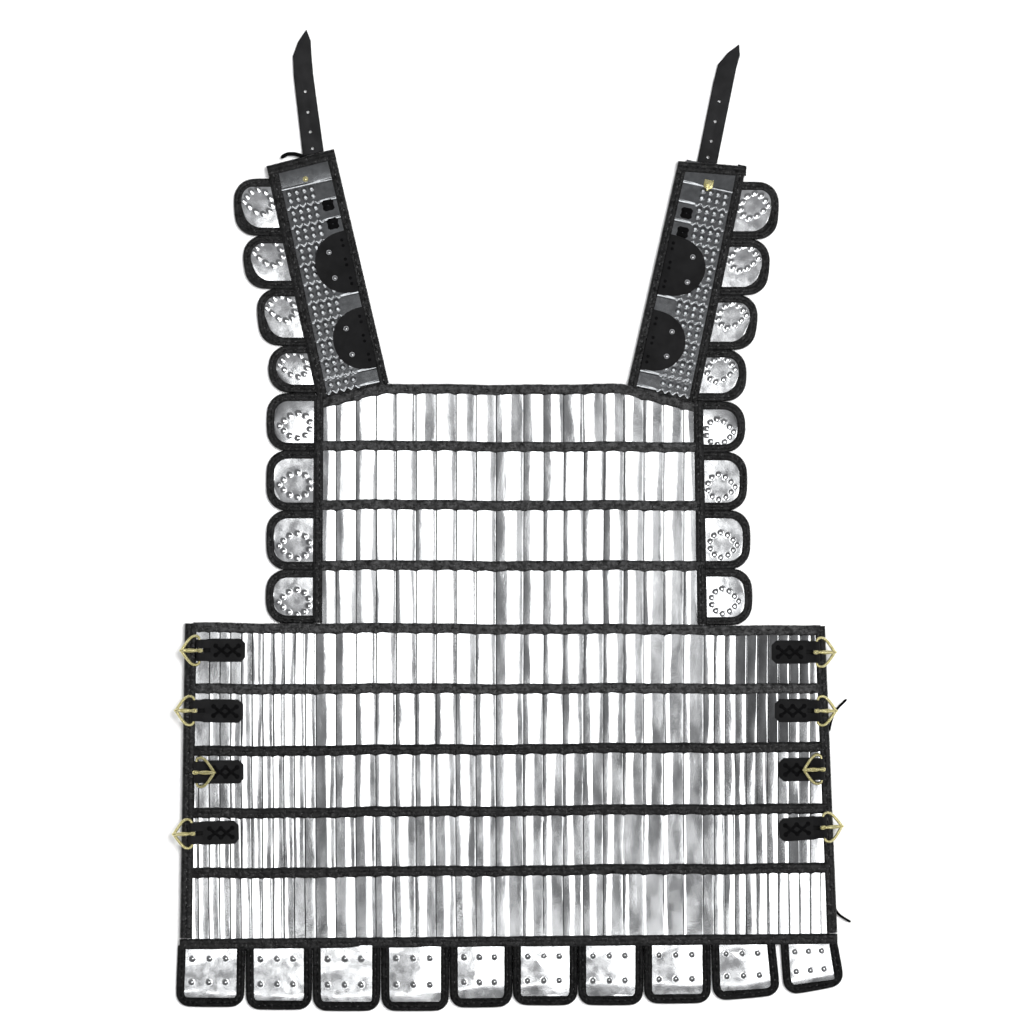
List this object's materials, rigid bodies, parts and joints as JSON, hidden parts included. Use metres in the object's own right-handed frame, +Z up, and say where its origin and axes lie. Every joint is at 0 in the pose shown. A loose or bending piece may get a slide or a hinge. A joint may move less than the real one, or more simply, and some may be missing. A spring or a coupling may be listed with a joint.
{
  "type": "lamellar armour",
  "caption": "Front of a lamellar cuirass laid flat: overlapping steel lamellae in leather-bound rows, with skirt flaps, arm-hole scales, shoulder straps and loose brass buckles.",
  "frame": {"origin": "under the middle of the whole armour, on the surface that it lies on", "axes": "+X to the wearer's left, which is the viewer's right; +Y towards the shoulders; +Z up out of the outer face"},
  "size_m": [0.6022, 0.883, 0.011],
  "materials": {
    "steel": "polished steel lamellae and plates with hammered edges",
    "dark_steel": "embossed steel plates of the shoulder straps, a darker polish",
    "leather": "black vegetable-tanned leather, semi-matt, stitched",
    "brass": "pale cast brass, lightly polished"
  },
  "bodies": {
    "armour": {"chest_binding": "leather", "chest_row_1": "steel", "chest_row_2": "steel", "chest_row_3": "steel", "chest_row_4": "steel", "left_buckle_1_tab": "leather", "left_buckle_2_tab": "leather", "left_buckle_3_tab": "leather", "left_buckle_4_tab": "leather", "left_chest_scales": "leather", "left_shoulder_scales": "leather", "left_strap_leather": "leather", "left_strap_patch_lower": "leather", "left_strap_patch_upper": "leather", "left_strap_plates": "dark_steel", "left_strap_tail": "leather", "right_buckle_1_tab": "leather", "right_buckle_2_tab": "leather", "right_buckle_3_tab": "leather", "right_buckle_4_tab": "leather", "right_chest_scales": "leather", "right_shoulder_scales": "leather", "right_strap_leather": "leather", "right_strap_patch_lower": "leather", "right_strap_patch_upper": "leather", "right_strap_plates": "dark_steel", "right_strap_tail": "leather", "skirt_band": "leather", "skirt_flap_01": "leather", "skirt_flap_02": "leather", "skirt_flap_03": "leather", "skirt_flap_04": "leather", "skirt_flap_05": "leather", "skirt_flap_06": "leather", "skirt_flap_07": "leather", "skirt_flap_08": "leather", "skirt_flap_09": "leather", "skirt_flap_10": "leather", "waist_binding": "leather", "waist_row_1": "steel", "waist_row_2": "steel", "waist_row_3": "steel", "waist_row_4": "steel", "waist_row_5": "steel"},
    "left_buckle_1_frame": {"left_buckle_1_frame": "brass"},
    "left_buckle_1_tongue": {"left_buckle_1_tongue": "brass"},
    "left_buckle_2_frame": {"left_buckle_2_frame": "brass"},
    "left_buckle_2_tongue": {"left_buckle_2_tongue": "brass"},
    "left_buckle_3_frame": {"left_buckle_3_frame": "brass", "left_buckle_3_tongue": "brass"},
    "left_buckle_4_frame": {"left_buckle_4_frame": "brass"},
    "left_buckle_4_tongue": {"left_buckle_4_tongue": "brass"},
    "right_buckle_1_frame": {"right_buckle_1_frame": "brass"},
    "right_buckle_1_tongue": {"right_buckle_1_tongue": "brass"},
    "right_buckle_2_frame": {"right_buckle_2_frame": "brass"},
    "right_buckle_2_tongue": {"right_buckle_2_tongue": "brass"},
    "right_buckle_3_frame": {"right_buckle_3_frame": "brass", "right_buckle_3_tongue": "brass"},
    "right_buckle_4_frame": {"right_buckle_4_frame": "brass"},
    "right_buckle_4_tongue": {"right_buckle_4_tongue": "brass"}
  },
  "joints": [
    {"name": "left_buckle_1_frame_hinge", "type": "hinge", "parent": "armour", "child": "left_buckle_1_frame", "pos_m": [-0.279, -0.1172, 0.0074], "axis": [0, 1, 0], "range_deg": [0, 165]},
    {"name": "left_buckle_1_tongue_hinge", "type": "hinge", "parent": "left_buckle_1_frame", "child": "left_buckle_1_tongue", "pos_m": [-0.279, -0.1172, 0.0074], "axis": [0, -1, 0], "range_deg": [-100, 0]},
    {"name": "left_buckle_2_frame_hinge", "type": "hinge", "parent": "armour", "child": "left_buckle_2_frame", "pos_m": [-0.284, -0.1713, 0.0074], "axis": [0.0175, 0.9998, 0], "range_deg": [0, 165]},
    {"name": "left_buckle_2_tongue_hinge", "type": "hinge", "parent": "left_buckle_2_frame", "child": "left_buckle_2_tongue", "pos_m": [-0.284, -0.1713, 0.0074], "axis": [-0.0175, -0.9998, 0], "range_deg": [-100, 0]},
    {"name": "left_buckle_3_frame_hinge", "type": "hinge", "parent": "armour", "child": "left_buckle_3_frame", "pos_m": [-0.2815, -0.2268, 0.0074], "axis": [-0.0087, 1, 0], "range_deg": [-165, 0]},
    {"name": "left_buckle_4_frame_hinge", "type": "hinge", "parent": "armour", "child": "left_buckle_4_frame", "pos_m": [-0.2858, -0.2818, 0.0074], "axis": [-0.0262, 0.9997, 0], "range_deg": [0, 165]},
    {"name": "left_buckle_4_tongue_hinge", "type": "hinge", "parent": "left_buckle_4_frame", "child": "left_buckle_4_tongue", "pos_m": [-0.2858, -0.2818, 0.0074], "axis": [0.0262, -0.9997, 0], "range_deg": [-100, 0]},
    {"name": "right_buckle_1_frame_hinge", "type": "hinge", "parent": "armour", "child": "right_buckle_1_frame", "pos_m": [0.2756, -0.1188, 0.0074], "axis": [0, -1, 0], "range_deg": [0, 165]},
    {"name": "right_buckle_1_tongue_hinge", "type": "hinge", "parent": "right_buckle_1_frame", "child": "right_buckle_1_tongue", "pos_m": [0.2756, -0.1188, 0.0074], "axis": [0, 1, 0], "range_deg": [-100, 0]},
    {"name": "right_buckle_2_frame_hinge", "type": "hinge", "parent": "armour", "child": "right_buckle_2_frame", "pos_m": [0.2765, -0.1714, 0.0074], "axis": [0, -1, 0], "range_deg": [0, 165]},
    {"name": "right_buckle_2_tongue_hinge", "type": "hinge", "parent": "right_buckle_2_frame", "child": "right_buckle_2_tongue", "pos_m": [0.2765, -0.1714, 0.0074], "axis": [0, 1, 0], "range_deg": [-100, 0]},
    {"name": "right_buckle_3_frame_hinge", "type": "hinge", "parent": "armour", "child": "right_buckle_3_frame", "pos_m": [0.2798, -0.224, 0.0074], "axis": [0.0175, -0.9998, 0], "range_deg": [-165, 0]},
    {"name": "right_buckle_4_frame_hinge", "type": "hinge", "parent": "armour", "child": "right_buckle_4_frame", "pos_m": [0.282, -0.2762, 0.0074], "axis": [0.0698, -0.9976, 0], "range_deg": [0, 165]},
    {"name": "right_buckle_4_tongue_hinge", "type": "hinge", "parent": "right_buckle_4_frame", "child": "right_buckle_4_tongue", "pos_m": [0.282, -0.2762, 0.0074], "axis": [-0.0698, 0.9976, 0], "range_deg": [-100, 0]}
  ]
}
